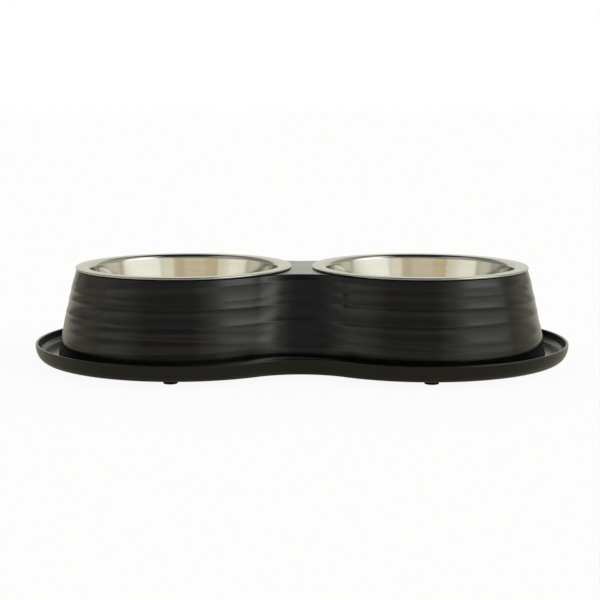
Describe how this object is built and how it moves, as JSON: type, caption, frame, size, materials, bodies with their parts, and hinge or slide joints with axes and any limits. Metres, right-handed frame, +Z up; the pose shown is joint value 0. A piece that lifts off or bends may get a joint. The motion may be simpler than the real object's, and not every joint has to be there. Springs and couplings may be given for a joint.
{
  "type": "double pet bowl",
  "caption": "Peanut-shaped pet feeding stand with a rippled wall, a spill tray and lift-out steel bowls hanging by their rims.",
  "frame": {"origin": "on the ground under the feet, midway between the two bowls", "axes": "+X runs from the left bowl to the right bowl, +Y from front to back, +Z up"},
  "size_m": [0.3956, 0.2204, 0.0724],
  "materials": {
    "stand": "satin-gloss black moulded plastic",
    "tray": "satin-gloss black moulded plastic, a little warmer",
    "steel": "mirror-polished stainless steel",
    "feet": "matte black rubber",
    "screws": "zinc-plated steel"
  },
  "bodies": {
    "stand": {"stand_shell": "stand", "base_tray": "tray", "foot_front_left": "feet", "foot_front_right": "feet", "foot_back_left": "feet", "foot_back_right": "feet", "screw_front_left": "screws", "screw_front_right": "screws", "screw_back_left": "screws", "screw_back_right": "screws"},
    "left_bowl": {"bowl_left": "steel"},
    "right_bowl": {"bowl_right": "steel"}
  },
  "joints": [
    {"name": "lift_bowl_left", "type": "slide", "parent": "stand", "child": "left_bowl", "axis": [0, 0, 1], "range_m": [0, 0.06]},
    {"name": "lift_bowl_right", "type": "slide", "parent": "stand", "child": "right_bowl", "axis": [0, 0, 1], "range_m": [0, 0.06]}
  ]
}
